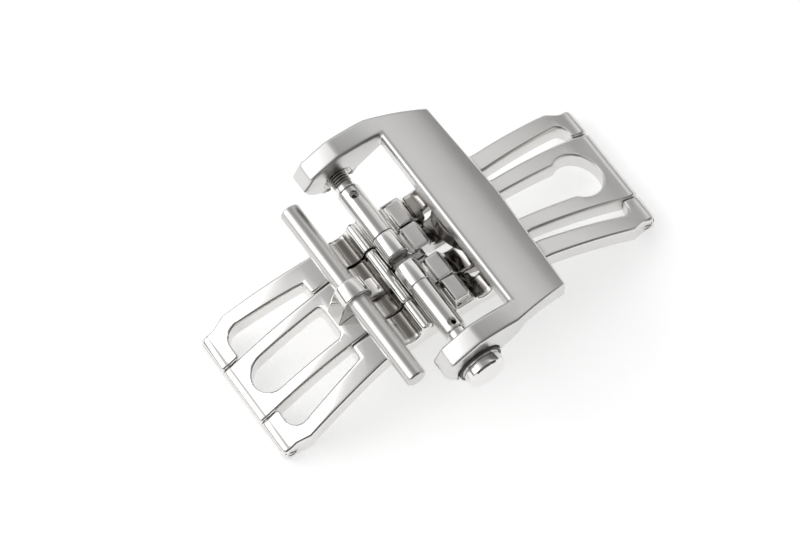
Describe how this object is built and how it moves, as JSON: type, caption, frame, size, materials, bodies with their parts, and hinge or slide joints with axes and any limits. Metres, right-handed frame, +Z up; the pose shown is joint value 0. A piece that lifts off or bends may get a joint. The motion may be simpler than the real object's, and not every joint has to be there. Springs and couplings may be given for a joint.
{
  "type": "deployant watch clasp",
  "caption": "Folding watch-strap clasp: slotted curved base, two hinged blades, strap bar, hinged buckle frame with a push button.",
  "frame": {"origin": "middle of the clasp's length and width, on the flat that its two hinge ends stand on", "axes": "+X towards the hinge of the fork-shaped blade, +Y across, away from the push button, +Z up from the table to the buckle frame"},
  "size_m": [0.0406, 0.0252, 0.0131],
  "materials": {
    "polished_steel": "mirror polished stainless steel",
    "satin_steel": "fine satin stainless steel",
    "bar_steel": "polished turned stainless steel",
    "pin_steel": "turned steel, plain",
    "dark_polished_steel": "polished steel that mirrors the dark underside"
  },
  "bodies": {
    "base": {"base": "polished_steel", "bridge_rivets": "pin_steel", "left_hinge_pin": "pin_steel", "right_hinge_pin": "pin_steel"},
    "left_wing": {"left_blade": "polished_steel", "bar_lug": "polished_steel", "lug_screws": "pin_steel", "strap_bar": "bar_steel"},
    "right_wing": {"right_blade": "satin_steel", "left_half_shaft": "bar_steel", "left_sleeve": "bar_steel", "left_cross_pin": "pin_steel", "left_collar": "polished_steel", "left_coil_spring": "dark_polished_steel", "right_sleeve": "bar_steel", "right_cross_pin": "pin_steel", "right_collar": "polished_steel"},
    "buckle": {"buckle_frame": "satin_steel", "clamp_foot": "dark_polished_steel", "strap_post": "bar_steel", "left_ear_bush": "polished_steel", "right_ear_bush": "polished_steel", "ear_set_screws": "pin_steel", "button_spring": "dark_polished_steel"},
    "push_button": {"button_cap": "polished_steel", "button_stem": "bar_steel"}
  },
  "joints": [
    {"name": "left_hinge", "type": "hinge", "parent": "base", "child": "left_wing", "pos_m": [-0.0194, 0, 0.00105], "axis": [0, -1, 0], "range_deg": [0, 130]},
    {"name": "right_hinge", "type": "hinge", "parent": "base", "child": "right_wing", "pos_m": [0.0194, 0, 0.00105], "axis": [0, 1, 0], "range_deg": [0, 130]},
    {"name": "buckle_hinge", "type": "hinge", "parent": "right_wing", "child": "buckle", "pos_m": [-0.003, 0, 0.00904], "axis": [0, -1, 0], "range_deg": [0, 90]},
    {"name": "button_press", "type": "slide", "parent": "buckle", "child": "push_button", "axis": [0, 1, 0], "range_m": [0, 0.0005], "stiffness_N_per_m": 600, "deforming": ["button_spring"]}
  ]
}
